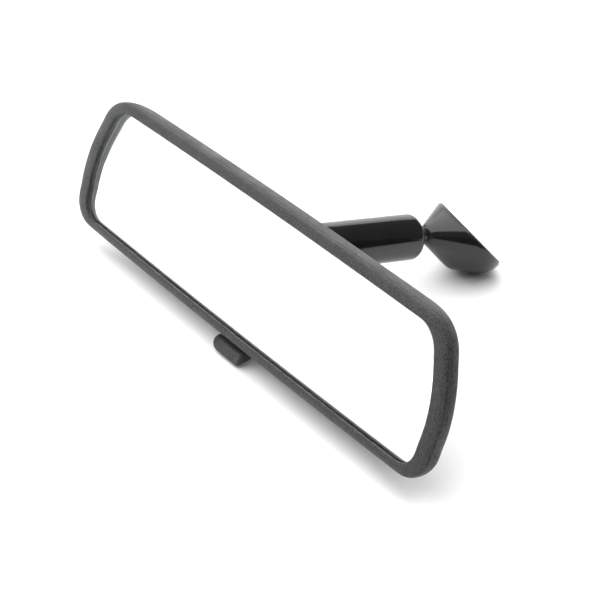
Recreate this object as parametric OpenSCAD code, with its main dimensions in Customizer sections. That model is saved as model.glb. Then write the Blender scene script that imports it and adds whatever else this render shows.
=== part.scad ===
// Interior rearview mirror: a prismatic day/night mirror head on a two-ball
// stay, with a cone-shaped foot that is bonded to the windscreen.
//
// Row frame: origin at the centre of the foot's bond face, +X along the
// mirror head, +Y from the glass towards the windscreen, +Z up with the
// mirror lying on a table on its lever tip and foot.
// Most pieces are drawn in the head frame (origin at the centre of the glass
// opening, X along the head, Y to the rear, Z up along the head) and are put
// in the row frame by place().

/* [Head] */
// Width of the visible glass at mid height
open_w = 228; // [200:1:260]
// Height of the visible glass
open_h = 54; // [48:1:62]
// Corner radius of the visible glass
corner_r = 10.5; // [8:0.5:14]
// Sagitta of the long edges
crown_z = 0.8; // [0:0.1:2]
// Sagitta of the short edges
crown_x = 2.4; // [0:0.1:4]
// How much further out each lower corner is than the middle of its end
taper_x = 4.2; // [0:0.1:6]
// Thickness of the bezel's lip in front of the glass
lip_t = 1.6; // [1:0.1:2.5]
// Depth of the bezel ring
bezel_d = 3.0; // [2.4:0.1:4]
// Width of the dark groove between bezel and case
groove_w = 0.4; // [0.2:0.1:0.8]
// Depth of the head from the lip to the back of the case
head_d = 26; // [24:1:30]

/* [Glass] */
// Thickness of the wedge at its lower edge
glass_thin = 2.4; // [2:0.1:3]
// Thickness of the wedge at its upper edge
glass_thick = 4.8; // [4:0.1:5.5]
// How far the glass reaches under the lip
glass_lap = 1.8; // [1.2:0.1:2.0]

/* [Day and night lever] */
// Height of the case's hinge above the head's centre
hinge_z = 19.5; // [18:0.5:20]
// Depth of the case's hinge behind the lip
hinge_y = 15.25; // [15:0.25:15.5]
// Height of the lever's pivot, below the head's centre
lever_z = -23; // [-23.5:0.5:-22.5]
// Depth of the lever's pivot behind the lip
lever_y = 9; // [8.5:0.25:9.5]
// Crank radius of the lever
crank_r = 5.2; // [5:0.1:5.4]
// Half of the lever's travel, in degrees
lever_half = 16; // [14:1:16]
// Width of the lever's finger tab
tab_w = 19; // [16:1:20]

/* [Stay] */
// Outside diameter of the tube
tube_d = 20.1; // [19:0.1:22]
// Wall of the tube
tube_t = 0.8; // [0.6:0.1:0.8]
// Diameter of both balls
ball_d = 16; // [15.6:0.1:16]
// Diameter of both necks
neck_d = 4.9; // [4.6:0.1:5]
// Distance of the head's ball centre behind the lip
ball_y = 38; // [37:0.5:40]
// Distance between the two ball centres
ball_gap = 43.7; // [42:0.1:50]
// Angle of the stay above the head's rearward axis
stay_up = 4.6; // [3:0.1:6]

/* [Foot] */
// Diameter of the foot at its flat face
foot_d = 38.4; // [34:0.2:42]
// Angle between the stay's axis and the bond face's normal
face_a = 54.8; // [50:0.1:60]
// How far the foot is turned about the stay as it stands
foot_turn = 12.6; // [-20:0.1:20]
// Centre of the bond face along the stay from the head's ball
foot_s = 85.7; // [84:0.1:92]
// Centre of the bond face below the stay's axis
foot_off = 1.4; // [0:0.1:4]
// Thickness of the adhesive pad
pad_t = 0.5; // [0.3:0.1:1.0]
// How far the head leans back from upright
lean = 16.5; // [12:0.1:20]

/* [Hidden] */
$fn = 72;

plastic = [0.13, 0.13, 0.135];
gloss = [0.05, 0.05, 0.055];
steel = [0.68, 0.69, 0.70];

eps = 0.01;
big = 400;
// half size of the opening's straight part
hw = open_w / 2 - corner_r;
hh = open_h / 2 - corner_r;
taper_k = taper_x / (open_h / 2) / (open_w / 2);

// wedge: mid thickness and angle of its silvered back face
wedge_h = open_h + 2 * glass_lap;
wedge_mid = lip_t + (glass_thin + glass_thick) / 2;
wedge_a = atan((glass_thick - glass_thin) / wedge_h);
back_t = 0.35;
cushion_t = 1.5;

// lever and hinge geometry, in the head frame's YZ plane
link_len = sqrt(pow(hinge_y - lever_y, 2) + pow(hinge_z - lever_z, 2));
link_a = atan2(hinge_y - lever_y, hinge_z - lever_z);   // from +Z towards +Y
crank_a = link_a + lever_half;                           // at rest
crank_y = lever_y + crank_r * sin(crank_a);
crank_z = lever_z + crank_r * cos(crank_a);
slot_a = atan2(hinge_y - crank_y, hinge_z - crank_z);
pin_r = 1.25;
tab_c = 3.6;                                             // corner radius of the tab
hinge_r = 1.5;

// the stay
stay_z0 = 5.9;                                           // height of its axis at the lip
ball_z = stay_z0 + ball_y * tan(stay_up);
ball_r = ball_d / 2;
neck_r = neck_d / 2;
tube_r = tube_d / 2;
bore_r = tube_r - tube_t;
end_s = 6.5;                                             // ball centre to the tube's end
liner_i = ball_r + 0.06;
liner_o = bore_r - 0.3;
seat_s = 5.7;                                            // ball centre to a seat's front
seat_l = 8.3;
end_c = 3;                                               // corner radius of the tube's ends
boss_s = 57.2;                                           // front of the foot's boss, from the head ball
nut_s = boss_s + 8.7;                                    // washer of the foot's stud, from the head ball

// centre of the bond face in the head frame
bond_x = -foot_off * sin(foot_turn);
bond_d = foot_off * cos(foot_turn);                      // below the stay's axis
bond_y = ball_y + bond_d * sin(stay_up) + foot_s * cos(stay_up);
bond_z = ball_z - bond_d * cos(stay_up) + foot_s * sin(stay_up);

// ---------- outlines ----------
function arc(cx, cz, r, a0, a1, n) =
    [for (i = [0:n]) let (a = a0 + (a1 - a0) * i / n) [cx + r * cos(a), cz + r * sin(a)]];
function crown(c, t) = c * (1 - t * t);
function plain_outline(g) = concat(
    [for (i = [1:3]) let (t = -1 + i / 2) [open_w / 2 + g + crown(crown_x, t), t * hh]],
    arc(hw, hh, corner_r + g, 0, 90, 8),
    [for (i = [1:7]) let (t = 1 - i / 4) [t * hw, open_h / 2 + g + crown(crown_z, t)]],
    arc(-hw, hh, corner_r + g, 90, 180, 8),
    [for (i = [1:3]) let (t = 1 - i / 2) [-open_w / 2 - g - crown(crown_x, t), t * hh]],
    arc(-hw, -hh, corner_r + g, 180, 270, 8),
    [for (i = [1:7]) let (t = -1 + i / 4) [t * hw, -open_h / 2 - g - crown(crown_z, t)]],
    arc(hw, -hh, corner_r + g, 270, 360, 8));
// the opening grown by g, with its ends moved out by a further ex
function outline(g, ex = 0) =
    [for (p = plain_outline(g))
        [p[0] * (1 - taper_k * p[1]) * (1 + ex / (open_w / 2)), p[1]]];

// depth profile of the case: [y, growth, further growth of the ends]
case_outer = [[bezel_d + groove_w, 4.2, 2.5], [4, 4.2, 2.4], [8, 3.9, 1.4], [12, 2.9, -7], [16, -0.2, -20],
              [20, -5.2, -36], [24, -12, -56], [head_d - eps, -17.5, -70]];
case_inner = [[bezel_d + groove_w - 0.1, 3.1, 2.3], [7.2, 3.08, 2.2], [12, 1.0, -9], [16, -2.3, -22],
              [20, -7.4, -38], [head_d - 1.8, -15, -60]];

// a plate of the outline in the XZ plane, from y0 to y0 + t
module slab(g, ex, y0, t)
    translate([0, y0 + t, 0]) rotate([90, 0, 0]) linear_extrude(t) polygon(outline(g, ex));

module skin(profile)
    hull() for (p = profile) slab(p[1], p[2], p[0], eps);

// everything behind the wedge's silvered face, moved back by off
module behind(off)
    translate([0, wedge_mid, 0]) rotate([-wedge_a, 0, 0])
        translate([-big / 2, off, -big / 2]) cube([big, 100, big]);

// a YZ profile extruded symmetrically in X by w
module yz(w)
    translate([-w / 2, 0, 0]) rotate([90, 0, 90]) linear_extrude(w) children();

// a round bar along X, centred
module xbar(y, z, r, w)
    translate([-w / 2, y, z]) rotate([0, 90, 0]) cylinder(r = r, h = w);

// a round bar along Y from y0 to y1
module ybar(x, z, r, y0, y1)
    translate([x, y0, z]) rotate([-90, 0, 0]) cylinder(r = r, h = y1 - y0);

module hex_y(x, z, af, y0, y1)
    translate([x, y0, z]) rotate([-90, 0, 0])
        linear_extrude(y1 - y0)
            polygon([for (i = [0:5]) af / 2 / cos(30) * [cos(60 * i), sin(60 * i)]]);

// ---------- frames ----------
module place() rotate([-lean, 0, 0]) translate([-bond_x, -bond_y, -bond_z]) children();
// stay frame: origin at the head's ball, Z along the stay towards the foot
module stay() place() translate([0, ball_y, ball_z]) rotate([stay_up - 90, 0, 0]) children();
// bond frame: origin at the bond face's centre, Z out of it, +Y down the slope
module bond()
    stay() rotate([0, 0, foot_turn]) translate([0, foot_off, foot_s]) rotate([face_a, 0, 0])
        children();

// ---------- head ----------
module front_bezel()
    color(plastic) place() {
        difference() {
            hull() {
                slab(2.8, 3.6, 0, eps);
                slab(3.9, 3.0, 0.8, eps);
                slab(4.2, 2.7, 1.8, bezel_d - 1.8);
            }
            slab(0, 0, -1, lip_t + 2);
            slab(glass_lap + 0.4, 1.4, lip_t, 4);
        }
        // skirt that snaps into the case
        difference() {
            slab(3.0, 2.0, bezel_d - eps, 4);
            slab(glass_lap + 0.4, 1.4, bezel_d - 1, 8);
        }
    }

module case_ribs() {
    // hinge ears
    for (x = [-24.6, 24.6])
        translate([x - 1.5, 10.6, 13.5]) cube([3, 16, 12]);
    // lever ears
    for (x = [-11.9, 11.9])
        translate([x - 1.3, 5.8, -29]) cube([2.6, 15, 11.5]);
    // ribs behind the glass
    intersection() {
        for (x = [-88, -46, 46, 88])
            translate([x - 0.8, 3, -29]) cube([1.6, 24, 58]);
        behind(back_t + cushion_t);
    }
    // post of the detent spring
    ybar(0, -15, 3.4, 16.5, head_d);
}

module rear_case()
    color(plastic) place()
        difference() {
            skin(case_outer);
            difference() {
                skin(case_inner);
                case_ribs();
            }
            // hole for the stud and its swing
            ybar(0, ball_z, 8.5, 20, head_d + 2);
            // slot for the lever
            translate([-10.4, 8, -36]) cube([20.8, 8.2, 10]);
            // bores of the two pins and the screw
            xbar(hinge_y, hinge_z, hinge_r + 0.02, 53);
            xbar(lever_y, lever_z, pin_r + 0.02, 27);
            ybar(0, -15, 1.02, 15, 22.6);
        }

module mirror_glass()
    color([0.75, 0.82, 0.80, 0.5]) place()
        difference() {
            slab(glass_lap, 0, lip_t, 9);
            behind(0);
        }

module silver_backing()
    color([0.85, 0.86, 0.87]) place()
        difference() {
            intersection() {
                slab(glass_lap - 0.1, 0, lip_t, 9);
                behind(0);
            }
            behind(back_t);
        }

module glass_cushions()
    color([0.2, 0.2, 0.21]) place()
        difference() {
            intersection() {
                for (x = [-88, -46, 46, 88])
                    translate([x - 3, 2, -21]) cube([6, 10, 42]);
                behind(back_t);
            }
            behind(back_t + cushion_t);
        }

// ---------- day and night mechanism ----------
module day_night_lever()
    color(plastic) place()
        difference() {
            union() {
                xbar(lever_y, lever_z, 3.2, 18);
                // crank and its pin
                translate([0, lever_y, lever_z]) rotate([-crank_a, 0, 0])
                    yz(6) polygon([[-2.2, 1.9], [2.2, 1.9], [1.8, crank_r + 0.9], [0.9, crank_r + 1.9],
                                   [-0.9, crank_r + 1.9], [-1.8, crank_r + 0.9]]);
                xbar(crank_y, crank_z, pin_r, 15.4);
                // root, through the slot of the case
                yz(17.6) polygon([[8.7, -24.9], [11.4, -24.3], [11.0, -34], [8.7, -34]]);
                // finger tab
                intersection() {
                    yz(tab_w) polygon([[11.2, -33], [11.0, -35.6], [9.9, -37.2], [8.3, -38.4],
                                       [5.4, -40.0], [3.8, -40.6], [2.8, -40.3], [2.1, -39.4],
                                       [1.9, -38.2], [2.2, -36.4], [2.8, -35.3], [4.2, -34.4],
                                       [7.6, -33.0]]);
                    translate([0, 20, 0]) rotate([90, 0, 0]) linear_extrude(30)
                        polygon(concat(
                            [[-tab_w / 2, -31]],
                            arc(-tab_w / 2 + tab_c, -41 + tab_c, tab_c, 180, 270, 6),
                            arc(tab_w / 2 - tab_c, -41 + tab_c, tab_c, 270, 360, 6),
                            [[tab_w / 2, -31]]));
                }
            }
            xbar(lever_y, lever_z, pin_r + 0.06, 30);
        }

module lever_pin()
    color(steel) place() xbar(lever_y, lever_z, pin_r, 26.2);

module hinge_pin()
    color(steel) place() xbar(hinge_y, hinge_z, hinge_r, 52);

module pivot_bracket()
    color([0.55, 0.56, 0.57]) place()
        difference() {
            union() {
                // plate
                translate([-20, 14, -8]) cube([40, 2.5, 27.5]);
                // hinge barrels
                for (s = [-1, 1])
                    translate([s * 17.4, 0, 0]) xbar(hinge_y, hinge_z, 3.4, 11);
                // fork that holds the crank pin
                for (s = [-1, 1])
                    translate([s * 5.6, 0, 0]) yz(3)
                        polygon([[16.5, -2], [16.5, -9], [15.0, -13.5], [14.3, -19.2], [8.2, -19.2],
                                 [8.2, -15.6], [10.8, -12], [13.2, -8], [14, -2]]);
            }
            ybar(0, ball_z, 3.05, 10, 20);
            xbar(hinge_y, hinge_z, hinge_r + 0.06, 60);
            // open slots along the line to the hinge
            translate([0, crank_y, crank_z]) rotate([-slot_a, 0, 0])
                translate([-10, -pin_r - 0.15, -6]) cube([20, 2 * pin_r + 0.3, 8]);
        }

module detent_spring()
    color(steel) place()
        difference() {
            yz(5.6) polygon([[16.5, -11.6], [16.5, -18.6], [13.3, -22.4], [13.3, -23.6], [14.8, -26.0],
                             [14.4, -26.2], [12.85, -23.8], [12.85, -22.2], [16.0, -18.4], [16.0, -11.6]]);
            ybar(0, -15, 1.3, 12, 18);
        }

module spring_screw()
    color(steel) place() {
        ybar(0, -15, 1.0, 15.9, 22);
        difference() {
            ybar(0, -15, 2.1, 14.6, 16.0);
            for (a = [0, 90])
                translate([0, 14.6, -15]) rotate([0, a, 0]) cube([2.4, 1.4, 0.5], center = true);
        }
    }

// ---------- ball studs ----------
module head_ball_stud()
    color(steel) place() {
        translate([0, ball_y, ball_z]) sphere(r = ball_r);
        ybar(0, ball_z, neck_r, 17.5, ball_y - 6);
        ybar(0, ball_z, 6, 16.5, 18.7);
        ybar(0, ball_z, 3, 8.6, 17);
    }

module head_stud_washer()
    color(steel) place()
        difference() {
            ybar(0, ball_z, 6.2, 13.2, 14);
            ybar(0, ball_z, 3.05, 12, 15);
        }

module head_stud_nut()
    color(steel) place()
        difference() {
            hex_y(0, ball_z, 10, 9.6, 13.2);
            ybar(0, ball_z, 3.02, 9, 14);
        }

// ---------- stay ----------
// half profile of a round bar with rounded corners, from -e to ball_gap + e
module bar_profile(r, e, c)
    polygon(concat(
        [[0, -e]],
        arc(r - c, c - e, c, -90, 0, 8),
        arc(r - c, ball_gap + e - c, c, 0, 90, 8),
        [[0, ball_gap + e]]));

// half profile of a bore with a part sphere about each ball, open at -e
module bore_profile(r, e) {
    a = asin(e / r);
    polygon(concat(
        [[0, -e]], arc(0, 0, r, -a, 0, 12), arc(0, ball_gap, r, 0, a, 12), [[0, ball_gap + e]]));
}

module arm_tube()
    color(gloss) stay()
        rotate_extrude() difference() {
            bar_profile(tube_r, end_s, end_c);
            bore_profile(bore_r, end_s + 0.5);
            translate([0, -10]) square([6.2, 20 + ball_gap]);
        }

// ring between two concentric spheres, from polar angle a0 to a1
module liner(a0, a1)
    rotate_extrude() polygon(concat(
        [for (i = [0:14]) let (a = a0 + (a1 - a0) * i / 14) [liner_o * sin(a), -liner_o * cos(a)]],
        [for (i = [14:-1:0]) let (a = a0 + (a1 - a0) * i / 14) [liner_i * sin(a), -liner_i * cos(a)]]));

// cup that the spring presses on the ball
module seat()
    difference() {
        translate([0, 0, seat_s]) cylinder(r = bore_r - 0.08, h = seat_l);
        sphere(r = ball_r + 0.06);
        translate([0, 0, seat_s + 2]) cylinder(r = 3, h = seat_l);
        translate([0, 0, seat_s + seat_l - 2.5]) cylinder(r = 7.9, h = 3);
    }

module front_ball_seat() color([0.85, 0.84, 0.8]) stay() seat();
module rear_ball_seat()
    color([0.85, 0.84, 0.8]) stay() translate([0, 0, ball_gap]) mirror([0, 0, 1]) seat();
module front_ball_liner() color([0.9, 0.89, 0.85]) stay() liner(41, 104);
module rear_ball_liner()
    color([0.9, 0.89, 0.85]) stay() translate([0, 0, ball_gap]) mirror([0, 0, 1]) liner(41, 104);

// compression spring as a swept round wire
spring_s0 = seat_s + seat_l - 2.5 + 0.85;
spring_s1 = ball_gap - spring_s0;
spring_turns = 5;
spring_r = 6.6;
wire_r = 0.8;
spring_n = 24 * spring_turns;
function spring_point(i, k) =
    let (t = i / spring_n, a = 360 * spring_turns * t, b = 45 * k,
         rr = spring_r + wire_r * cos(b))
    [rr * cos(a), rr * sin(a), spring_s0 + (spring_s1 - spring_s0) * t + wire_r * sin(b)];
module arm_spring()
    color(steel) stay()
        polyhedron(
            points = [for (i = [0:spring_n]) for (k = [0:7]) spring_point(i, k)],
            faces = concat(
                [[for (k = [0:7]) k]],
                [for (i = [0:spring_n - 1]) for (k = [0:7])
                    [8 * i + k, 8 * i + 8 + k, 8 * i + 8 + (k + 1) % 8, 8 * i + (k + 1) % 8]],
                [[for (k = [7:-1:0]) 8 * spring_n + k]]));

// ---------- foot ----------
module foot_ball_stud()
    color(steel) stay() {
        translate([0, 0, ball_gap]) sphere(r = ball_r);
        translate([0, 0, ball_gap + 6]) cylinder(r = neck_r, h = boss_s - ball_gap - 5.99);
        translate([0, 0, boss_s]) cylinder(r = 2.4, h = nut_s + 4.4 - boss_s);
    }

module foot_body()
    color(gloss)
        difference() {
            hull() {
                bond() {
                    translate([0, 0, -pad_t - 1.7]) cylinder(r = foot_d / 2, h = 1.7);
                    translate([0, 0.8, -4.2]) cylinder(r = foot_d / 2 - 0.8, h = eps);
                    translate([0, 1.9, -6.4]) cylinder(r = foot_d / 2 - 2.1, h = eps);
                    translate([0, 2.7, -8.4]) scale([0.96, 1, 1]) cylinder(r = foot_d / 2 - 3.0, h = eps);
                    translate([0, 1.5, -12.6]) scale([0.88, 1, 1]) cylinder(r = foot_d / 2 - 6.0, h = eps);
                    translate([0, -1.3, -17.0]) scale([0.83, 1, 1]) cylinder(r = foot_d / 2 - 10.6, h = eps);
                    translate([0, -1.7, -18.4]) scale([0.83, 1, 1]) cylinder(r = foot_d / 2 - 14.2, h = eps);
                }
                stay() translate([0, 0, boss_s]) cylinder(r1 = 3.4, r2 = 4.6, h = 1.3);
            }
            // bore of the stud and pocket of its nut
            stay() translate([0, 0, boss_s - 3]) cylinder(r = 2.45, h = 24);
            stay() translate([0, 0, nut_s]) cylinder(r = 5.2, h = 30);
            // recess of the plate
            bond() translate([0, 0, -pad_t - 1.6]) cylinder(r = 15.5, h = 6);
            // screw bores
            bond() for (s = [-1, 1])
                translate([s * 10, 2, -pad_t - 9]) cylinder(r = 1.25, h = 9);
        }

module foot_stud_washer()
    color(steel) stay() translate([0, 0, nut_s])
        difference() {
            cylinder(r = 4.8, h = 0.6);
            translate([0, 0, -1]) cylinder(r = 2.45, h = 4);
        }

module foot_stud_nut()
    color(steel) stay() translate([0, 0, nut_s + 0.6])
        difference() {
            linear_extrude(3)
                polygon([for (i = [0:5]) 4 / cos(30) * [cos(60 * i), sin(60 * i)]]);
            translate([0, 0, -1]) cylinder(r = 2.42, h = 6);
        }

module foot_plate()
    color(steel) bond()
        difference() {
            translate([0, 0, -pad_t - 1.6]) cylinder(r = 15.4, h = 1.6);
            for (s = [-1, 1])
                translate([s * 10, 2, -pad_t - 2]) {
                    cylinder(r = 1.5, h = 4);
                    translate([0, 0, 0.6]) cylinder(r1 = 1.5, r2 = 2.95, h = 1.45);
                }
        }

module foot_screws()
    color(steel) bond()
        for (s = [-1, 1])
            translate([s * 10, 2, 0]) {
                translate([0, 0, -pad_t - 8]) cylinder(r = 1.2, h = 7.8);
                translate([0, 0, -pad_t - 1.35]) cylinder(r1 = 1.2, r2 = 2.5, h = 1.25);
            }

module adhesive_pad()
    color([0.35, 0.35, 0.36]) bond() translate([0, 0, -pad_t]) cylinder(r = foot_d / 2 - 0.8, h = pad_t);

front_bezel();
rear_case();
mirror_glass();
silver_backing();
glass_cushions();
day_night_lever();
lever_pin();
pivot_bracket();
hinge_pin();
detent_spring();
spring_screw();
head_ball_stud();
head_stud_nut();
head_stud_washer();
front_ball_seat();
front_ball_liner();
arm_tube();
arm_spring();
rear_ball_seat();
rear_ball_liner();
foot_ball_stud();
foot_body();
foot_stud_nut();
foot_stud_washer();
foot_plate();
foot_screws();
adhesive_pad();
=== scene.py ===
import bpy, bmesh, math
import numpy as np
from mathutils import Matrix, Vector


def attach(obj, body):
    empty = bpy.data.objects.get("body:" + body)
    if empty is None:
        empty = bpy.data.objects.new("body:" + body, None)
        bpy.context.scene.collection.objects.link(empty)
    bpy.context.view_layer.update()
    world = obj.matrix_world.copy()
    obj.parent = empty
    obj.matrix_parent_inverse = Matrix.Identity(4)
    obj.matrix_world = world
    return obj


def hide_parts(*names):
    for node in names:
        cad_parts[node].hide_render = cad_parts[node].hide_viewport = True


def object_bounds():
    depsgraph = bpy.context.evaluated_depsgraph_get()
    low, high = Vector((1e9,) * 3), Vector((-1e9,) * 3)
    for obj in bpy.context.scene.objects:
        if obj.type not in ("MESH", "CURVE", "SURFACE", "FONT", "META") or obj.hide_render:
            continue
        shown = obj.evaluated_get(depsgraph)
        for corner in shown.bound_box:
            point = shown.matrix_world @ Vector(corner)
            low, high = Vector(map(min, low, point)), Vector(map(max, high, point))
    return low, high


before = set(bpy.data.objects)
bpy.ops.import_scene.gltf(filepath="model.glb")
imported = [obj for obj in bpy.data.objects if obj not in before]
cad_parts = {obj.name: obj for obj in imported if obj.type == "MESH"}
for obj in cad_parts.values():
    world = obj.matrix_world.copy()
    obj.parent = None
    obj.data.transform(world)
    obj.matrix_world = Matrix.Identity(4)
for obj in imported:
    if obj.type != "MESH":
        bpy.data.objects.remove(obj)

CAD_BOX = [[float(a) for a in p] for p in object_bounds()]
rad = math.radians

# ------------------------------------------------------------------ frames
# millimetres in the head, stay and bond frames -> metres in the row frame
LEAN, STAY_UP, TURN, FACE_A = rad(16.5), rad(4.6), rad(12.6), rad(54.8)
FOOT_OFF, FOOT_S, BALL_Y, GAP = 1.4, 85.7, 38.0, 43.7
BALL_Z = 5.9 + BALL_Y * math.tan(STAY_UP)
_bd = FOOT_OFF * math.cos(TURN)
BX = -FOOT_OFF * math.sin(TURN)
BY = BALL_Y + _bd * math.sin(STAY_UP) + FOOT_S * math.cos(STAY_UP)
BZ = BALL_Z - _bd * math.cos(STAY_UP) + FOOT_S * math.sin(STAY_UP)


def row(P):
    P = np.atleast_2d(np.asarray(P, float))
    x, y, z = P[:, 0] - BX, P[:, 1] - BY, P[:, 2] - BZ
    c, s = math.cos(LEAN), math.sin(LEAN)
    return np.c_[x, y * c + z * s, -y * s + z * c] / 1000.0


def stay(P):
    P = np.atleast_2d(np.asarray(P, float))
    x, y, z = P.T
    c, s = math.cos(STAY_UP), math.sin(STAY_UP)
    return row(np.c_[x, BALL_Y + y * s + z * c, BALL_Z - y * c + z * s])


def bond_to_stay(P):
    P = np.atleast_2d(np.asarray(P, float))
    x, y, z = P.T
    c, s = math.cos(FACE_A), math.sin(FACE_A)
    y2, z2 = y * c - z * s + FOOT_OFF, y * s + z * c + FOOT_S
    return np.c_[x * math.cos(TURN) - y2 * math.sin(TURN), x * math.sin(TURN) + y2 * math.cos(TURN), z2]


def bond(P):
    return stay(bond_to_stay(P))


# ------------------------------------------------------------------ mesh helpers
def make(name, V, F, sharp=35):
    me = bpy.data.meshes.new(name)
    me.from_pydata([tuple(v) for v in V], [], [tuple(int(i) for i in f) for f in F])
    bm = bmesh.new()
    bm.from_mesh(me)
    bmesh.ops.remove_doubles(bm, verts=bm.verts, dist=1e-7)
    bmesh.ops.recalc_face_normals(bm, faces=bm.faces)
    if bm.calc_volume(signed=True) < 0:
        bmesh.ops.reverse_faces(bm, faces=bm.faces)
    bm.to_mesh(me)
    bm.free()
    me.shade_smooth()
    me.set_sharp_from_angle(angle=rad(sharp))
    ob = bpy.data.objects.new(name, me)
    bpy.context.scene.collection.objects.link(ob)
    return ob


def loft(rings, closed=True):
    """Faces between rings of equal length; with closed, the last ring joins the first."""
    n, k = len(rings[0]), len(rings)
    V = np.vstack(rings)
    F = []
    for i in range(k if closed else k - 1):
        a, b = i * n, ((i + 1) % k) * n
        for j in range(n):
            j2 = (j + 1) % n
            F.append((a + j, a + j2, b + j2, b + j))
    return V, F


def apply_mods(ob, sharp=35):
    dg = bpy.context.evaluated_depsgraph_get()
    me = bpy.data.meshes.new_from_object(ob.evaluated_get(dg))
    ob.modifiers.clear()
    old = ob.data
    ob.data = me
    bpy.data.meshes.remove(old)
    bm = bmesh.new()
    bm.from_mesh(me)
    bmesh.ops.remove_doubles(bm, verts=bm.verts, dist=2e-7)
    bmesh.ops.dissolve_degenerate(bm, edges=bm.edges, dist=1e-7)
    bm.to_mesh(me)
    bm.free()
    me.shade_smooth()
    me.set_sharp_from_angle(angle=rad(sharp))
    return ob


def boolean(ob, cutter, op="DIFFERENCE", sharp=35):
    m = ob.modifiers.new("b", "BOOLEAN")
    m.operation = op
    m.solver = "EXACT"
    m.object = cutter
    bpy.context.view_layer.update()
    apply_mods(ob, sharp)
    bpy.data.objects.remove(cutter)
    return ob


def tube_ring(r, n=96):
    t = np.linspace(0, 2 * np.pi, n, endpoint=False)
    return np.c_[r * np.cos(t), r * np.sin(t)]


def revolve(profile, to, n=128, name="rev", sharp=35):
    """profile: closed list of (radius, z) in mm; to: frame function."""
    t = np.linspace(0, 2 * np.pi, n, endpoint=False)
    rings = [to(np.c_[r * np.cos(t), r * np.sin(t), np.full(n, z)]) for r, z in profile]
    V, F = loft(rings, True)
    return make(name, V, F, sharp)


def rod(to, r, z0, z1, cx=0.0, cy=0.0, n=64, name="rod"):
    t = np.linspace(0, 2 * np.pi, n, endpoint=False)
    A = to(np.c_[cx + r * np.cos(t), cy + r * np.sin(t), np.full(n, z0)])
    B = to(np.c_[cx + r * np.cos(t), cy + r * np.sin(t), np.full(n, z1)])
    V = np.vstack([A, B])
    F = [(j, (j + 1) % n, n + (j + 1) % n, n + j) for j in range(n)]
    F += [tuple(range(n - 1, -1, -1)), tuple(range(n, 2 * n))]
    return make(name, V, F)


def arc2(cx, cy, r, a0, a1, n):
    a = np.radians(np.linspace(a0, a1, n + 1))
    return [(cx + r * math.cos(t), cy + r * math.sin(t)) for t in a]


def pchip(x, y, xi):
    """Monotone cubic interpolation."""
    x, y, xi = np.asarray(x, float), np.asarray(y, float), np.asarray(xi, float)
    h, d = np.diff(x), np.diff(y) / np.diff(x)
    m = np.zeros_like(y)
    for i in range(1, len(x) - 1):
        if d[i - 1] * d[i] > 0:
            w1, w2 = 2 * h[i] + h[i - 1], h[i] + 2 * h[i - 1]
            m[i] = (w1 + w2) / (w1 / d[i - 1] + w2 / d[i])
    m[0], m[-1] = d[0], d[-1]
    k = np.clip(np.searchsorted(x, xi) - 1, 0, len(x) - 2)
    t = (xi - x[k]) / h[k]
    return ((2 * t**3 - 3 * t**2 + 1) * y[k] + (t**3 - 2 * t**2 + t) * h[k] * m[k]
            + (3 * t**2 - 2 * t**3) * y[k + 1] + (t**3 - t**2) * h[k] * m[k + 1])


# ------------------------------------------------------------------ outline of the opening
OW, OH, CR, CZ, CX, TX = 228.0, 54.0, 10.5, 0.8, 2.4, 4.2


def base_outline(n=520):
    hw, hh = OW / 2 - CR, OH / 2 - CR
    k = TX / (OH / 2) / (OW / 2)
    P = []
    P += [(OW / 2 + CX * (1 - t * t), t * hh) for t in np.linspace(-1, 1, 14)[1:-1]]
    P += arc2(hw, hh, CR, 0, 90, 16)
    P += [(t * hw, OH / 2 + CZ * (1 - t * t)) for t in np.linspace(1, -1, 60)[1:-1]]
    P += arc2(-hw, hh, CR, 90, 180, 16)
    P += [(-OW / 2 - CX * (1 - t * t), t * hh) for t in np.linspace(1, -1, 14)[1:-1]]
    P += arc2(-hw, -hh, CR, 180, 270, 16)
    P += [(t * hw, -OH / 2 - CZ * (1 - t * t)) for t in np.linspace(-1, 1, 60)[1:-1]]
    P += arc2(hw, -hh, CR, 270, 360, 16)
    P = np.array(P)
    P[:, 0] *= 1 - k * P[:, 1]
    Q = np.vstack([P, P[:1]])
    s = np.r_[0, np.cumsum(np.linalg.norm(np.diff(Q, axis=0), axis=1))]
    si = np.linspace(0, s[-1], 4 * n, endpoint=False)
    R = np.c_[np.interp(si, s, Q[:, 0]), np.interp(si, s, Q[:, 1])]
    step = s[-1] / (4 * n)
    sig = 1.9 / step
    w = np.exp(-0.5 * (np.arange(-int(4 * sig), int(4 * sig) + 1) / sig) ** 2)
    w /= w.sum()
    h = len(w) // 2
    E = np.vstack([R[-h:], R, R[:h]])
    R = np.c_[np.convolve(E[:, 0], w, "valid"), np.convolve(E[:, 1], w, "valid")]
    # keep the corners where they were: grow by what the smoothing took off
    T = np.roll(R, -1, 0) - np.roll(R, 1, 0)
    N = np.c_[T[:, 1], -T[:, 0]] / np.linalg.norm(T, axis=1)[:, None]
    d1 = (np.roll(N, -8, 0) - np.roll(N, 8, 0))
    curv = np.linalg.norm(d1, axis=1) / (16 * step)
    R = R + N * (0.5 * 1.9**2 * curv)[:, None]
    # denser where it bends
    dens = 1.0 + 34.0 * curv
    c = np.r_[0, np.cumsum(dens)]
    idx = np.interp(np.linspace(0, c[-1], n, endpoint=False), c, np.arange(len(c)))
    Rw = np.vstack([R, R[:1]])
    R = np.c_[np.interp(idx, np.arange(len(Rw)), Rw[:, 0]), np.interp(idx, np.arange(len(Rw)), Rw[:, 1])]
    T = np.roll(R, -1, 0) - np.roll(R, 1, 0)
    N = np.c_[T[:, 1], -T[:, 0]] / np.linalg.norm(T, axis=1)[:, None]
    return R, N


BASE, BNRM = base_outline()
NB = len(BASE)


def ring2(g, ex=0.0, sx=1.0, sz=1.0):
    P = BASE + g * BNRM
    return np.c_[P[:, 0] * (1 + ex / (OW / 2)) * sx, P[:, 1] * sz]


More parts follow.
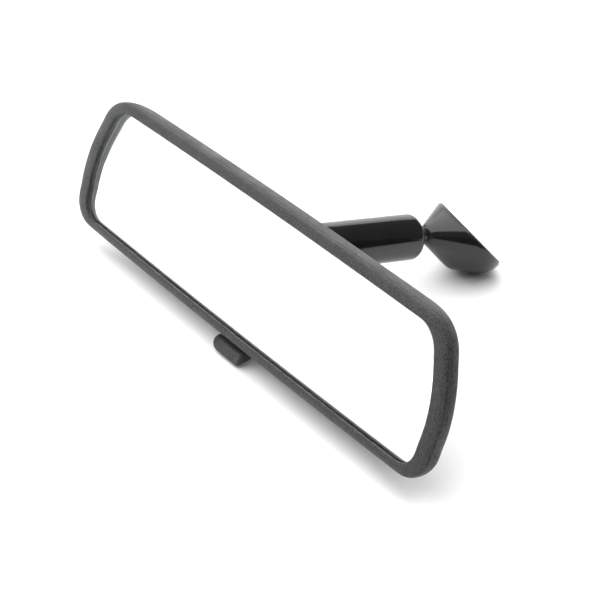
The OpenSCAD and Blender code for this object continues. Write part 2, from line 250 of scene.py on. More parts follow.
def ring(g, ex, y, sx=1.0, sz=1.0):
    P = ring2(g, ex, sx, sz)
    yy = y(P) if callable(y) else np.full(len(P), float(y))
    return row(np.c_[P[:, 0], yy, P[:, 1]])


# ------------------------------------------------------------------ front bezel
def make_bezel():
    sec = [(0.0, 0.0, 1.57), (0.0, 0.0, 0.52), (0.03, 0.03, 0.33), (0.12, 0.12, 0.18), (0.25, 0.25, 0.09),
           (0.45, 0.45, 0.03), (0.75, 0.8, 0.0), (1.1, 1.25, 0.0), (1.5, 1.8, 0.0), (1.95, 2.45, 0.06),
           (2.4, 3.0, 0.2), (2.85, 3.35, 0.4), (3.25, 3.5, 0.66), (3.6, 3.45, 0.98), (3.88, 3.25, 1.36),
           (4.06, 3.05, 1.78), (4.16, 2.9, 2.2), (4.2, 2.82, 2.6), (4.2, 2.8, 2.92), (4.16, 2.77, 2.98), (4.08, 2.7, 3.0),
           (3.6, 2.4, 3.0), (3.0, 2.0, 3.0), (3.0, 2.0, 3.4), (3.0, 2.0, 6.8), (2.9, 1.9, 7.0), (2.3, 1.45, 7.0), (2.2, 1.4, 6.9),
           (2.2, 1.4, 1.7), (2.1, 1.3, 1.57)]
    V, F = loft([ring(*p) for p in sec], True)
    return make("bezel_ring", V, F, 50)


# ------------------------------------------------------------------ rear case
def make_case():
    ys = [3.4, 4, 6, 8, 10, 12, 14, 16, 18, 20, 22, 24, 25.3, 25.85, 26]
    sz = [1.01, 1.012, 1.008, 1, .988, .966, .925, .866, .792, .703, .598, .47, .36, .22, 0.001]
    sx = [1.013, 1.012, 1.008, 1, .97, .92, .86, .785, .70, .605, .50, .375, .28, .17, 0.001]
    # by arc length, so that the flat back is sampled well
    ys, sz, sx = map(np.array, (ys, sz, sx))
    s = np.r_[0, np.cumsum(np.hypot(np.diff(ys), 31 * np.diff(sz)))]
    si = np.linspace(0, s[-1], 58)
    Y, Z, X = pchip(s, ys, si), pchip(s, sz, si), pchip(s, sx, si)
    outer = [ring(3.9, 1.4, y, sx=a, sz=b) for y, a, b in zip(Y, X, Z)]
    outer[0] = ring(3.9, 1.4, 3.3, sx=1.0127, sz=1.0112)
    outer = [ring(3.15, 2.35, 3.25), ring(3.3, 2.35, 3.14), ring(3.9, 1.4, 3.14, sx=1.0105, sz=1.0075),
             ring(3.9, 1.4, 3.16, sx=1.0118, sz=1.0098), ring(3.9, 1.4, 3.2, sx=1.0124, sz=1.0107)] + outer
    # inner wall
    inner = []
    yi = [24.2, 24.05, 23.3, 22, 20, 18, 16, 14, 12, 10, 8.5, 7.2]
    fz = [0.001, .22, .38, .50, .62, .715, .79, .85, .90, .935, .955, .985]
    fx = [0.001, .20, .30, .42, .54, .64, .725, .80, .865, .92, .955, .99]
    for y, a, b in zip(yi, fx, fz):
        inner.append(ring(3.08, 2.2, y, sx=a, sz=b))
    inner.append(ring(3.1, 2.25, 6.9))
    V, F = loft(outer + inner, True)
    # the loop closes from the last inner ring back to the first outer ring; the join between the two
    # tips runs along the axis and is replaced by caps
    n = NB
    k_tip = len(outer) - 1
    F = [f for i, f in enumerate(F) if i // n != k_tip]
    F.append(tuple(range(k_tip * n, (k_tip + 1) * n)))
    F.append(tuple(range((k_tip + 2) * n - 1, (k_tip + 1) * n - 1, -1)))
    ob = make("rear_shell", V, F, 40)
    # hole for the stud, with a rounded mouth
    t = np.linspace(0, 2 * np.pi, 96, endpoint=False)

    def yrings(prof):
        return [row(np.c_[r * np.cos(t), np.full(96, y), BALL_Z + r * np.sin(t)]) for r, y in prof]
    R = yrings([(8.5, 20), (8.5, 24.9), (8.65, 25.4), (9.0, 25.75), (9.6, 26.1), (10.5, 28)])
    V, F = loft(R, False)
    F += [tuple(range(95, -1, -1)), tuple(range(5 * 96, 6 * 96))]
    boolean(ob, make("cut", V, F), sharp=40)
    # slot for the lever, with round ends
    hx, hy, c = 10.4, 4.1, 2.0
    P = (arc2(hx - c, hy - c, c, 0, 90, 8) + arc2(-hx + c, hy - c, c, 90, 180, 8)
         + arc2(-hx + c, -hy + c, c, 180, 270, 8) + arc2(hx - c, -hy + c, c, 270, 360, 8))
    P = np.array(P)
    n2 = len(P)
    V = np.vstack([row(np.c_[P[:, 0], 12.1 + P[:, 1], np.full(n2, z)]) for z in (-36, -22)])
    F = [(j, (j + 1) % n2, n2 + (j + 1) % n2, n2 + j) for j in range(n2)]
    F += [tuple(range(n2 - 1, -1, -1)), tuple(range(n2, 2 * n2))]
    boolean(ob, make("cut", V, F), sharp=40)
    return ob


# ------------------------------------------------------------------ glass and silvering
WA = math.atan(2.4 / 57.6)


def back_y(off):
    return lambda P: 5.2 + P[:, 1] * math.tan(WA) + off


def make_plate(name, g, front, back, ch):
    """A flat plate of the outline between two surfaces, with its edges chamfered by ch."""
    def sh(fn, d):
        return lambda P: (fn(P) if callable(fn) else np.full(len(P), float(fn))) + d
    R = [ring(g - ch, 0, sh(front, 0)), ring(g, 0, sh(front, ch)), ring(g, 0, sh(back, -ch)), ring(g - ch, 0, sh(back, 0))]
    V, F = loft(R, False)
    F += [tuple(range(NB)), tuple(range(4 * NB - 1, 3 * NB - 1, -1))]
    ob = make(name, V, F, 20)
    return ob


# ------------------------------------------------------------------ day and night lever
def chaikin(P, k=3):
    P = np.array(P, float)
    for _ in range(k):
        Q = np.roll(P, -1, 0)
        P = np.stack([0.75 * P + 0.25 * Q, 0.25 * P + 0.75 * Q], 1).reshape(-1, 2)
    return P


def prism_x(poly, w, name="prism", bevel=0.0):
    """Extrudes a YZ polygon along X, with its end edges drawn in by bevel."""
    P = np.array(poly, float)
    c = P.mean(0)
    n = len(P)
    rings = []
    for x, k in ((-w / 2, bevel), (-w / 2 + bevel, 0.0), (w / 2 - bevel, 0.0), (w / 2, bevel)):
        d = np.linalg.norm(P - c, axis=1)[:, None]
        Q = c + (P - c) * (1 - k / d)
        rings.append(row(np.c_[np.full(n, x), Q]))
    V, F = loft(rings, False)
    F += [tuple(range(n)), tuple(range(4 * n - 1, 3 * n - 1, -1))]
    return make(name, V, F)


LY, LZ, HY, HZ = 9.0, -23.0, 15.25, 19.5


def make_lever():
    prof = chaikin([[10.9, -33], [10.9, -35.6], [9.9, -37.2], [8.3, -38.4], [5.4, -40.0], [3.9, -40.7], [2.7, -40.4],
                    [2.0, -39.4], [1.85, -38.2], [2.1, -36.5], [2.8, -35.2], [4.4, -34.3], [7.4, -33.1], [9.2, -32.95]], 3)
    top = -32.9
    W2, rc, re = 9.5, 3.4, 1.3
    rings = []
    xs = np.r_[-W2 * np.ones(1), -W2 + re * (1 - np.cos(np.linspace(0, np.pi / 2, 9)))[1:], -W2 + np.linspace(re, rc, 6)[1:],
               np.linspace(-W2 + rc, W2 - rc, 14)[1:-1]]
    xs = np.r_[xs, -xs[xs < -W2 + rc + 1e-9][::-1]]
    xs = np.unique(np.round(xs, 6))
    cy, cz = 6.3, -36.6
    for x in xs:
        e = W2 - abs(x)
        # the lower corners round off over rc, the end edges over re
        lift = rc - math.sqrt(max(0.0, rc * rc - (rc - e) ** 2)) if e < rc else 0.0
        k = 1 - re * 0.34 * (1 - math.sqrt(max(0.0, 1 - (1 - e / re) ** 2))) / 1.3 if e < re else 1.0
        P = prof.copy()
        h = (top - P[:, 1]) / (top + 40.6)
        P[:, 1] = P[:, 1] + lift * np.clip(h, 0, 1)
        # the face is a little hollow between its ends, where a finger goes
        face = np.clip((4.5 - P[:, 0]) / 2.0, 0, 1) * np.clip((P[:, 1] + 40.0) / 1.5, 0, 1) * np.clip((-35.0 - P[:, 1]) / 1.2, 0, 1)
        P[:, 0] += 0.45 * face * (1 - min(1.0, (abs(x) / 8.6)) ** 4)
        P = np.array([cy, cz]) + (P - np.array([cy, cz])) * k
        rings.append(row(np.c_[np.full(len(P), x), P]))
    n = len(prof)
    V, F = loft(rings, False)
    F += [tuple(range(n)), tuple(range(len(rings) * n - 1, (len(rings) - 1) * n - 1, -1))]
    ob = make("flip_lever", V, F, 50)

    def xrod(y, z, r, w, ch=0.35):
        t = np.linspace(0, 2 * np.pi, 64, endpoint=False)
        R = [row(np.c_[np.full(64, x), y + q * np.cos(t), z + q * np.sin(t)])
             for x, q in ((-w / 2, r - ch), (-w / 2 + ch, r), (w / 2 - ch, r), (w / 2, r - ch))]
        V, F = loft(R, False)
        F += [tuple(range(64)), tuple(range(255, 191, -1))]
        return make("x", V, F)
    boolean(ob, prism_x([[8.72, -24.9], [11.4, -24.4], [10.9, -34.6], [8.72, -34.6]], 17.6, bevel=0.35), "UNION", 50)
    boolean(ob, xrod(LY, LZ, 3.2, 18), "UNION", 50)
    la = math.atan2(HY - LY, HZ - LZ) + rad(16)
    cr = 5.2
    c, s = math.cos(la), math.sin(la)

    def loc(a, b):
        return [LY + a * c + b * s, LZ - a * s + b * c]
    boolean(ob, prism_x([loc(-2.2, 1.9), loc(-1.8, cr + .9), loc(-.9, cr + 1.9), loc(.9, cr + 1.9), loc(1.8, cr + .9), loc(2.2, 1.9)], 6, bevel=0.2), "UNION", 50)
    boolean(ob, xrod(LY + cr * s, LZ + cr * c, 1.25, 15.4, 0.2), "UNION", 50)
    boolean(ob, xrod(LY, LZ, 1.32, 30, 0.1), "DIFFERENCE", 50)
    return ob


# ------------------------------------------------------------------ arm tube
def make_tube():
    R, r, e, c = 10.05, 9.25, 6.5, 3.0
    out = arc2(R - c, c - e, c, -90, 0, 14) + arc2(R - c, GAP + e - c, c, 0, 90, 14)
    a = math.degrees(math.asin(e / r))
    inn = arc2(0, GAP, r, a, 0, 16)[1:] + arc2(0, 0, r, 0, -a, 16)[:-1]
    prof = [(6.72, -e), (6.95, -e)] + out[0:] + [(6.95, GAP + e), (6.72, GAP + e)] + inn
    # a few rings along the straight walls keep the shading even
    full = []
    for i, p in enumerate(prof):
        q = prof[(i + 1) % len(prof)]
        full.append(p)
        L = math.hypot(q[0] - p[0], q[1] - p[1])
        if L > 8:
            for k in range(1, 6):
                full.append((p[0] + (q[0] - p[0]) * k / 6, p[1] + (q[1] - p[1]) * k / 6))
    return revolve(full, stay, 144, "stay_tube", 40)


# ------------------------------------------------------------------ foot
def make_foot():
    FR = 19.2
    t = np.linspace(0, 2 * np.pi, 120, endpoint=False)

    def disc(y, d, rx, ry=None):
        return np.c_[rx * np.cos(t), y + (rx if ry is None else ry) * np.sin(t), np.full(len(t), -d)]

    def boss(s, r):
        P = np.c_[r * np.cos(t), r * np.sin(t), np.full(len(t), s)]
        # stay frame -> bond frame
        x, y, z = P.T
        x1 = x * math.cos(TURN) + y * math.sin(TURN)
        y1 = -x * math.sin(TURN) + y * math.cos(TURN) - FOOT_OFF
        z1 = z - FOOT_S
        c, sn = math.cos(FACE_A), math.sin(FACE_A)
        return np.c_[x1, y1 * c + z1 * sn, -y1 * sn + z1 * c]
    cloud = [disc(0, .5, FR), disc(0, 2.2, FR), disc(.8, 4.2, 18.5, 18.3), disc(1.9, 6.4, 17.1, 17.1), disc(2.7, 8.4, 15.6, 16.2), disc(2.6, 9.9, 14.3, 15.3),
             disc(1.5, 12.6, 11.6, 13.2), disc(-.2, 15.3, 9.0, 10.6), disc(-1.3, 17.0, 7.1, 8.6), disc(-1.6, 17.9, 5.9, 7.2), disc(-1.7, 18.35, 4.6, 5.6),
             disc(-1.7, 18.5, 3.0, 3.6), boss(57.22, 3.1), boss(57.35, 3.5), boss(57.7, 3.95), boss(58.2, 4.35), boss(58.6, 4.6)]
    bm = bmesh.new()
    for p in np.vstack(cloud):
        bm.verts.new(p)
    bmesh.ops.convex_hull(bm, input=bm.verts)
    bm.normal_update()
    pl = np.array([[*f.normal, f.normal.dot(f.verts[0].co)] for f in bm.faces])
    bm.free()
    Q = np.array([0, 0, -7.0])
    den0 = pl[:, 3] - pl[:, :3] @ Q
    if (den0 < 0).mean() > 0.5:
        pl = -pl
        den0 = -den0
    keep = den0 > 1e-6
    pl, den0 = pl[keep], den0[keep]
    # a grid of directions about Q whose first row is the foot's rim
    na, npol = 168, 92
    az = np.linspace(0, 2 * np.pi, na, endpoint=False)
    p0 = math.atan2(FR, 7.0 - 0.5)                # from straight out of the bond face
    p1 = math.atan2(FR, 7.0 - 3.0)
    pol = np.r_[np.linspace(p0, p1, 6)[:-1], np.linspace(p1, np.pi, npol)]
    D = np.stack([np.outer(np.sin(pol), np.cos(az)), np.outer(np.sin(pol), np.sin(az)),
                  np.outer(np.cos(pol), np.ones(na))], -1)
    dd = np.full(D.shape[:2], 1e9)
    for i in range(len(pol)):
        num = D[i] @ pl[:, :3].T
        with np.errstate(divide="ignore", invalid="ignore"):
            r = np.where(num > 1e-9, den0[None, :] / num, 1e9)
        dd[i] = r.min(1)
    # soften the creases a little, away from the rim
    for _ in range(5):
        s = dd.copy()
        s[1:-1] = (dd[:-2] + 2 * dd[1:-1] + dd[2:]) / 4
        s = (np.roll(s, 1, 1) + 2 * s + np.roll(s, -1, 1)) / 4
        s[-1] = s[-1].mean()
        w = np.clip((pol - p1) / 0.25, 0, 1)[:, None]
        dd = dd * (1 - w) + np.minimum(s, dd * 1.01) * w
    rings = [bond(Q + D[i] * dd[i][:, None]) for i in range(len(pol) - 1)]
    def flat(r, d):
        return bond(np.c_[r * np.cos(az), r * np.sin(az), np.full(na, -d)])
    rings[0] = flat(FR, 0.8)
    under = [flat(15.5, 2.1), flat(15.5, 0.5), flat(18.6, 0.5), flat(18.95, 0.52), flat(19.12, 0.62)]
    V, F = loft(under + rings, False)
    tip = bond(Q + D[-1][:1] * dd[-1][0])
    V = np.vstack([V, tip])
    k = (len(under) + len(rings) - 1) * na
    ti = len(V) - 1
    F += [(k + j, k + (j + 1) % na, ti) for j in range(na)]
    F.append(tuple(range(na)))
    ob = make("foot_cone", V, F, 32)
    boolean(ob, rod(stay, 2.6, 55.0, 63.4, n=64), sharp=32)
    return ob


# ------------------------------------------------------------------ materials
def lin(v):
    v = v / 255.0
    return v / 12.92 if v <= 0.04045 else ((v + 0.055) / 1.055) ** 2.4


class Mat:
    def __init__(self, name, **kw):
        self.m = bpy.data.materials.new(name)
        self.m.use_nodes = True
        self.t = self.m.node_tree
        self.b = self.t.nodes["Principled BSDF"]
        for k, v in kw.items():
            self.b.inputs[k.replace("_", " ")].default_value = v
        self.co = self.t.nodes.new("ShaderNodeTexCoord").outputs["Object"]

    def n(self, kind, **kw):
        nd = self.t.nodes.new("ShaderNode" + kind)
        for k, v in kw.items():
            if hasattr(nd, k):
                setattr(nd, k, v)
            else:
                nd.inputs[k.replace("_", " ")].default_value = v
        return nd

    def link(self, a, b):
        self.t.links.new(a, b)
        return b

    def scaled(self, s):
        mp = self.n("Mapping")
        mp.inputs["Scale"].default_value = s
        self.link(self.co, mp.inputs["Vector"])
        return mp.outputs["Vector"]

    def noise(self, scale, detail=3.0, rough=0.5, vec=None, dist=0.0):
        nd = self.n("TexNoise", Scale=scale, Detail=detail, Roughness=rough, Distortion=dist)
        self.link(vec or self.co, nd.inputs["Vector"])
        return nd.outputs["Fac"]

    def voronoi(self, scale, feature="F1", vec=None, rnd=1.0):
        nd = self.n("TexVoronoi", feature=feature, Scale=scale, Randomness=rnd)
        self.link(vec or self.co, nd.inputs["Vector"])
        return nd.outputs["Distance"]

    def ramp(self, fac, stops):
        nd = self.n("ValToRGB")
        el = nd.color_ramp.elements
        while len(el) < len(stops):
            el.new(0.5)
        for e, (p, c) in zip(el, stops):
            e.position = p
            e.color = (*c, 1.0) if isinstance(c, (tuple, list)) else (c, c, c, 1.0)
        self.link(fac, nd.inputs["Fac"])
        return nd.outputs["Color"]

    def mapr(self, fac, a, b, lo=0.0, hi=1.0):
        nd = self.n("MapRange")
        for k, v in zip(("From Min", "From Max", "To Min", "To Max"), (lo, hi, a, b)):
            nd.inputs[k].default_value = v
        self.link(fac, nd.inputs["Value"])
        return nd.outputs["Result"]

    def math(self, op, a, b):
        nd = self.n("Math", operation=op)
        for i, v in enumerate((a, b)):
            if isinstance(v, (int, float)):
                nd.inputs[i].default_value = v
            else:
                self.link(v, nd.inputs[i])
        return nd.outputs["Value"]

    def mix(self, fac, a, b):
        nd = self.t.nodes.new("ShaderNodeMix")
        nd.data_type = "RGBA"
        self.link(fac, nd.inputs["Factor"])
        for sock, v in ((nd.inputs["A"], a), (nd.inputs["B"], b)):
            if isinstance(v, tuple):
                sock.default_value = (*v, 1.0)
            else:
                self.link(v, sock)
        return nd.outputs["Result"]

    def tint(self, col, fac):
        nd = self.t.nodes.new("ShaderNodeMix")
        nd.data_type = "RGBA"
        nd.blend_type = "MULTIPLY"
        nd.inputs["Factor"].default_value = 1.0
        self.link(col, nd.inputs["A"])
        self.link(fac, nd.inputs["B"])
        return nd.outputs["Result"]

    def bump(self, height, strength, dist, prev=None):
        nd = self.n("Bump", Strength=strength, Distance=dist)
        self.link(height, nd.inputs["Height"])
        if prev is not None:
            self.link(prev, nd.inputs["Normal"])
        return nd.outputs["Normal"]

    def edge(self):
        """Worn edges: bright where the surface is strongly convex."""
        g = self.t.nodes.new("ShaderNodeNewGeometry")
        return self.ramp(g.outputs["Pointiness"], [(0.50, 0.0), (0.58, 1.0)])

    def set(self, sock, out):
        self.link(out, self.b.inputs[sock])
        return self


def plastic(name, dark, light, rough, grain=1.0, cell=2300.0, spec=0.5):
    m = Mat(name, IOR=1.5, Specular_IOR_Level=spec)
    blotch = m.noise(38, 4, 0.55)
    fine = m.noise(1400, 3, 0.6)
    base = m.ramp(m.math("ADD", m.math("MULTIPLY", blotch, 0.6), m.math("MULTIPLY", fine, 0.4)),
                  [(0.32, dark), (0.68, light)])
    worn = m.mix(m.edge(), base, tuple(min(1.0, c * 1.9) for c in light))
    # fine scratches and finger marks
    sc = m.ramp(m.noise(60, 2, 0.5, m.scaled((1.0, 9.0, 9.0)), 1.5), [(0.66, 0.0), (0.72, 1.0)])
    cells = m.voronoi(cell, "SMOOTH_F1")
    speck = m.ramp(m.math("ADD", m.math("MULTIPLY", m.noise(cell * 0.42, 3, 0.65), 0.7), m.math("MULTIPLY", cells, 0.3)),
                   [(0.38, 0.45), (0.60, 1.7)])
    m.set("Base Color", m.tint(worn, speck))
    r0 = m.mapr(m.noise(90, 4, 0.6), rough - 0.07, rough + 0.08, 0.3, 0.7)
    r1 = m.math("ADD", r0, m.math("MULTIPLY", cells, 0.10))
    m.set("Roughness", m.math("SUBTRACT", r1, m.math("ADD", m.math("MULTIPLY", sc, 0.05), m.math("MULTIPLY", speck, 0.06))))
    n1 = m.bump(cells, 0.8 * grain, 0.00022)
    n2 = m.bump(m.noise(1150, 4, 0.62), 1.0 * grain, 0.0011, n1)
    m.set("Normal", n2)
    return m.m


def enamel(name, dark, light, rough, coat, peel=1.0):
    m = Mat(name, IOR=1.5, Specular_IOR_Level=0.5, Coat_Weight=coat, Coat_Roughness=0.04, Coat_IOR=1.5)
    base = m.ramp(m.noise(120, 5, 0.6), [(0.3, dark), (0.7, light)])
    worn = m.mix(m.edge(), base, tuple(min(1.0, c * 2.5) for c in light))
    m.set("Base Color", worn)
    dust = m.ramp(m.noise(420, 5, 0.7), [(0.52, 0.0), (0.75, 1.0)])
    smear = m.noise(55, 3, 0.5, m.scaled((1.0, 0.35, 1.0)), 0.6)
    m.set("Roughness", m.math("ADD", m.mapr(smear, rough * 0.8, rough * 1.3, 0.3, 0.7), m.math("MULTIPLY", dust, 0.05)))
    n1 = m.bump(m.noise(260, 2, 0.5), 0.10 * peel, 0.00012)
    n2 = m.bump(m.noise(1500, 3, 0.6), 0.05 * peel, 0.00004, n1)
    m.set("Normal", n2)
    return m.m


def metal(name, a, b, rough, stretch=(1, 1, 1), grain=1.0, scale=500):
    m = Mat(name, Metallic=1.0)
    v = m.scaled(stretch)
    base = m.ramp(m.noise(scale * 0.2, 5, 0.6), [(0.3, a), (0.7, b)])
    m.set("Base Color", m.mix(m.edge(), base, tuple(min(1.0, c * 1.15) for c in b)))
    m.set("Roughness", m.mapr(m.noise(scale, 4, 0.6, v), rough * 0.75, rough * 1.3, 0.3, 0.7))
    n1 = m.bump(m.noise(scale * 2.2, 4, 0.65, v), 0.25 * grain, 0.00005)
    m.set("Normal", n1)
    return m.m


M = {}
M["case"] = plastic("case_plastic_grained", (0.014, 0.014, 0.0145), (0.023, 0.023, 0.024), 0.43, 1.0, 2300, 0.45)
M["bezel"] = plastic("bezel_plastic_fine", (0.014, 0.014, 0.0145), (0.022, 0.022, 0.023), 0.38, 0.9, 2500, 0.42)
M["lever"] = plastic("lever_plastic", (0.014, 0.014, 0.0145), (0.024, 0.024, 0.025), 0.42, 0.7, 2800, 0.45)
M["gloss"] = enamel("gloss_black_enamel", (0.006, 0.006, 0.0064), (0.009, 0.009, 0.0094), 0.09, 0.0, 0.8)
M["foot"] = enamel("satin_black_enamel", (0.007, 0.007, 0.0074), (0.0105, 0.0105, 0.011), 0.13, 0.0, 1.0)
M["steel"] = metal("zinc_plated_steel", (0.50, 0.50, 0.51), (0.64, 0.64, 0.65), 0.30, (1, 6, 6))
M["stud"] = metal("blackened_stud", (0.05, 0.05, 0.052), (0.09, 0.09, 0.092), 0.34, (6, 1, 6))
M["zinc"] = metal("die_cast_zinc", (0.34, 0.34, 0.35), (0.46, 0.46, 0.47), 0.48, (1, 1, 1), 1.6, 420)
M["spring"] = metal("oiled_spring_steel", (0.20, 0.20, 0.205), (0.32, 0.32, 0.325), 0.26, (1, 4, 4))


def acetal():
    m = Mat("natural_acetal", IOR=1.48, Subsurface_Weight=0.12, Subsurface_Scale=0.002)
    m.set("Base Color", m.ramp(m.noise(90, 4, 0.6), [(0.3, (0.66, 0.65, 0.60)), (0.7, (0.78, 0.77, 0.72))]))
    m.set("Roughness", m.mapr(m.noise(300, 4, 0.6), 0.28, 0.42, 0.3, 0.7))
    m.set("Normal", m.bump(m.noise(1200, 3, 0.6), 0.15, 0.00005))
    return m.m


def foam():
    m = Mat("closed_cell_foam", IOR=1.45, Roughness=0.9, Sheen_Weight=0.2)
    c = m.voronoi(2600)
    m.set("Base Color", m.ramp(c, [(0.1, (0.02, 0.02, 0.022)), (0.6, (0.06, 0.06, 0.065))]))
    m.set("Normal", m.bump(c, 0.6, 0.0002))
    return m.m


def adhesive():
    m = Mat("acrylic_foam_adhesive", IOR=1.47, Sheen_Weight=0.1)
    m.set("Base Color", m.ramp(m.noise(900, 5, 0.7), [(0.35, (0.035, 0.035, 0.037)), (0.7, (0.075, 0.075, 0.078))]))
    m.set("Roughness", m.mapr(m.noise(400, 4, 0.6), 0.5, 0.75, 0.3, 0.7))
    m.set("Normal", m.bump(m.noise(2600, 4, 0.7), 0.4, 0.00012))
    return m.m


def glass():
    m = Mat("clear_wedge_glass", IOR=1.52, Transmission_Weight=1.0)
    m.set("Base Color", m.ramp(m.noise(20, 3, 0.5), [(0.3, (0.97, 0.985, 0.982)), (0.7, (0.978, 0.99, 0.988))]))
    m.set("Roughness", m.mapr(m.noise(160, 4, 0.6), 0.0, 0.006, 0.35, 0.8))
    m.set("Normal", m.bump(m.noise(14, 2, 0.5), 0.015, 0.0002))
    return m.m


def ground():
    m = Mat("ground_glass_edge", IOR=1.5, Sheen_Weight=0.0)
    m.set("Base Color", m.ramp(m.noise(900, 4, 0.6, m.scaled((1.0, 6.0, 1.0))), [(0.3, (0.28, 0.33, 0.33)), (0.7, (0.50, 0.56, 0.56))]))
    m.set("Roughness", m.mapr(m.noise(1500, 4, 0.6), 0.4, 0.65, 0.3, 0.7))
    m.set("Normal", m.bump(m.noise(3000, 4, 0.7), 0.4, 0.00005))
    return m.m


def silver():
    m = Mat("silvered_film", Metallic=1.0)
    m.set("Base Color", m.ramp(m.noise(60, 3, 0.5), [(0.3, (0.70, 0.70, 0.71)), (0.7, (0.73, 0.73, 0.74))]))
    m.set("Roughness", m.mapr(m.noise(300, 4, 0.6), 0.012, 0.03, 0.3, 0.7))
    m.set("Normal", m.bump(m.noise(22, 2, 0.5), 0.012, 0.0002))
    return m.m


M["acetal"], M["foam"], M["adhesive"], M["glass"], M["silver"], M["ground"] = acetal(), foam(), adhesive(), glass(), silver(), ground()


def dress(ob, mat):
    ob.data.materials.clear()
    ob.data.materials.append(mat)


# ------------------------------------------------------------------ pieces in place
bezel = make_bezel()
case = make_case()
pane = make_plate("wedge_pane", 1.8, 1.6, back_y(0.0), 0.25)
film = make_plate("silver_film", 1.7, back_y(0.02), back_y(0.32), 0.05)
lever = make_lever()
tube = make_tube()
foot = make_foot()

for ob, mat, node, body, slot in (
        (bezel, "bezel", "front_bezel", "head", "case_plastic"),
        (case, "case", "rear_case", "head", "case_plastic"),
        (pane, "glass", "mirror_glass", "head", "glass"),
        (film, "silver", "silver_backing", "head", "silvering"),
        (lever, "lever", "day_night_lever", "lever", "lever_plastic"),
        (tube, "gloss", "arm_tube", "arm", "gloss_black"),
        (foot, "foot", "foot_body", "foot", "gloss_black_foot")):
    dress(ob, M[mat])
    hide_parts(node)
    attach(ob, body)

# the sides and chamfers of the glass are ground
pane.data.materials.append(M["ground"])
for poly in pane.data.polygons:
    if len(poly.vertices) == 4:
        poly.material_index = 1

NODE_MAT = {"glass_cushions": "foam", "lever_pin": "steel", "pivot_bracket": "zinc", "hinge_pin": "steel",
            "detent_spring": "spring", "spring_screw": "steel", "head_ball_stud": "stud", "head_stud_nut": "steel",
            "head_stud_washer": "steel", "front_ball_seat": "acetal", "front_ball_liner": "acetal",
            "arm_spring": "spring", "rear_ball_seat": "acetal", "rear_ball_liner": "acetal",
            "foot_ball_stud": "stud", "foot_stud_nut": "steel", "foot_stud_washer": "steel",
            "foot_plate": "steel", "foot_screws": "steel", "adhesive_pad": "adhesive"}
for node, key in NODE_MAT.items():
    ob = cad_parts[node]
    if len(ob.data.materials) == 0:
        ob.data.materials.append(M[key])
    for i in range(len(ob.data.materials)):
        ob.data.materials[i] = M[key]

# ------------------------------------------------------------------ floor
zf = CAD_BOX[0][2]
me = bpy.data.meshes.new("floor")
S = 1.5
me.from_pydata([(-S, -S, zf), (S, -S, zf), (S, S, zf), (-S, S, zf)], [], [(0, 1, 2, 3)])
floor = bpy.data.objects.new("floor", me)
bpy.context.scene.collection.objects.link(floor)
fm = Mat("pale_floor", IOR=1.4, Specular_IOR_Level=0.15)
fm.set("Base Color", fm.ramp(fm.noise(6, 3, 0.5), [(0.3, (0.90, 0.90, 0.905)), (0.7, (0.92, 0.92, 0.922))]))
fm.set("Roughness", fm.mapr(fm.noise(80, 3, 0.5), 0.65, 0.8, 0.3, 0.7))
# painted glow: past 0.45 m from the centre the floor glows, rising to full strength at 1.35 m, so the far floor stays
# white where the lamps fall off
ln = fm.t.nodes.new("ShaderNodeVectorMath")
ln.operation = "LENGTH"
fm.link(fm.co, ln.inputs[0])
fm.b.inputs["Emission Color"].default_value = (1, 1, 1, 1)
fm.set("Emission Strength", fm.mapr(ln.outputs["Value"], 0.0, 1.0, 0.45, 1.35))
dress(floor, fm.m)

# ------------------------------------------------------------------ light
def softbox(name, az, el, dist, w, h, radiance, glossy=True, target=(0.0, -0.08, 0.01)):
    d = Vector((math.cos(rad(el)) * math.cos(rad(az)), math.cos(rad(el)) * math.sin(rad(az)), math.sin(rad(el))))
    L = bpy.data.lights.new(name, "AREA")
    L.shape = "RECTANGLE"
    L.size, L.size_y = w, h
    L.energy = radiance * math.pi * w * h
    ob = bpy.data.objects.new(name, L)
    bpy.context.scene.collection.objects.link(ob)
    ob.location = Vector(target) + d * dist
    ob.rotation_euler = (-d).to_track_quat("-Z", "Y").to_euler()
    ob.visible_camera = False
    ob.visible_glossy = glossy
    return ob


over = softbox("overhead", 0, 90, 1.0, 2.75, 2.05, 2.75)
over.location = (-0.72, -0.37, 1.0)
over.rotation_euler = (0, 0, 0)
softbox("back_sweep", 134, 15, 1.7, 2.4, 0.8, 1.7)
softbox("front_card", -136, 10, 1.1, 1.9, 0.5, 1.45)


def sheet(name, pts, z0, z1, colour, strength):
    n = len(pts)
    me = bpy.data.meshes.new(name)
    me.from_pydata([(x, y, z) for z in (z0, z1) for x, y in pts], [], [(i, i + 1, n + i + 1, n + i) for i in range(n - 1)])
    ob = bpy.data.objects.new(name, me)
    bpy.context.scene.collection.objects.link(ob)
    m = bpy.data.materials.new(name)
    m.use_nodes = True
    b = m.node_tree.nodes["Principled BSDF"]
    b.inputs["Base Color"].default_value = (*colour, 1)
    b.inputs["Roughness"].default_value = 1.0
    b.inputs["Specular IOR Level"].default_value = 0.0
    b.inputs["Emission Color"].default_value = (1, 1, 1, 1)
    b.inputs["Emission Strength"].default_value = strength
    ob.data.materials.append(m)
    ob.visible_shadow = ob.visible_diffuse = ob.visible_transmission = False
    return ob
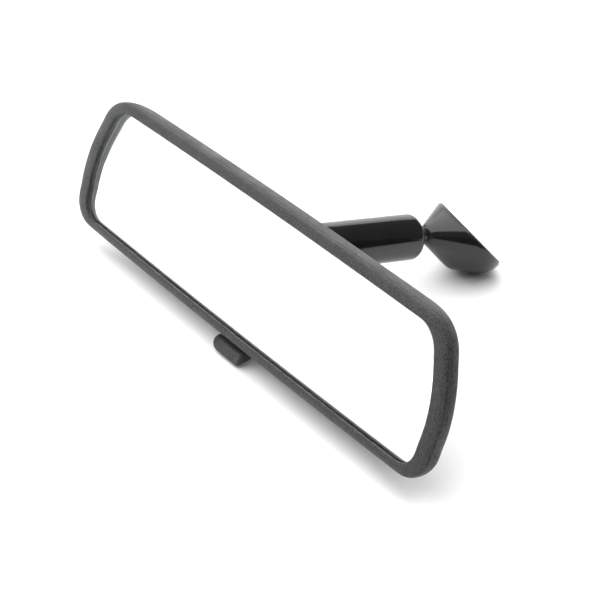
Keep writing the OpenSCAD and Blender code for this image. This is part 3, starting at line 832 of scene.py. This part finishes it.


# a dark flag low on the right and a dark apron on the floor beside it, which only reflections see: painted dark
# reflections, mainly on the surfaces facing right
flag = sheet("dark_flag", [(0.06 + 0.30 * math.cos(rad(a)), -0.10 + 0.30 * math.sin(rad(a))) for a in range(-84, 66, 6)],
             zf + 0.001, zf + 0.16, (0.0, 0.0, 0.0), 0.0)
flag.visible_camera = False
# the apron paints a dark reflection of the floor on the right; the real floor there stays pale
fa = [(0.06 + r * math.cos(rad(a)), -0.10 + r * math.sin(rad(a))) for r in (0.10, 0.30) for a in range(-78, 62, 7)]
fme = bpy.data.meshes.new("dark_apron")
fn = len(fa) // 2
fme.from_pydata([(x, y, zf + 0.0008) for x, y in fa], [], [(i, fn + i, fn + i + 1, i + 1) for i in range(fn - 1)])
apron = bpy.data.objects.new("dark_apron", fme)
bpy.context.scene.collection.objects.link(apron)
apron.data.materials.append(flag.data.materials[0])
apron.visible_camera = apron.visible_shadow = apron.visible_diffuse = apron.visible_transmission = False
sl = bpy.data.lights.new("fill", "SUN")
sl.angle = rad(150)
sl.energy = 0.5
so = bpy.data.objects.new("fill", sl)
bpy.context.scene.collection.objects.link(so)
so.rotation_euler = Vector((0.25, -0.35, -1)).to_track_quat("-Z", "Y").to_euler()
so.visible_glossy = False
# a white backdrop, which only the camera sees
drop = sheet("backdrop", [(2.1 * math.cos(rad(a)), 2.1 * math.sin(rad(a))) for a in range(0, 361, 6)], -1.0, 3.0,
             (0.0, 0.0, 0.0), 1.0)
drop.visible_glossy = False

w = bpy.data.worlds.new("studio")
bpy.context.scene.world = w
w.use_nodes = True
w.node_tree.nodes["Background"].inputs["Color"].default_value = (1, 1, 1, 1)
w.node_tree.nodes["Background"].inputs["Strength"].default_value = 0.13

# ------------------------------------------------------------------ camera
cam = bpy.data.cameras.new("camera")
cam.sensor_width = 36
cam.lens = 109.938
cam.shift_x = 0.00085
cam.clip_start, cam.clip_end = 0.05, 50
co = bpy.data.objects.new("camera", cam)
bpy.context.scene.collection.objects.link(co)
co.matrix_world = Matrix(((0.58685831, -0.43415347, 0.68345306, 0.51203347),
                          (0.80927229, 0.2874113, -0.51232129, -0.48023291),
                          (0.02599393, 0.85375963, 0.52001808, 0.38942457),
                          (0, 0, 0, 1)))
bpy.context.scene.camera = co
vs = bpy.context.scene.view_settings
vs.view_transform = "Standard"
vs.look = "None"
vs.exposure = 0.0
vs.gamma = 1.0
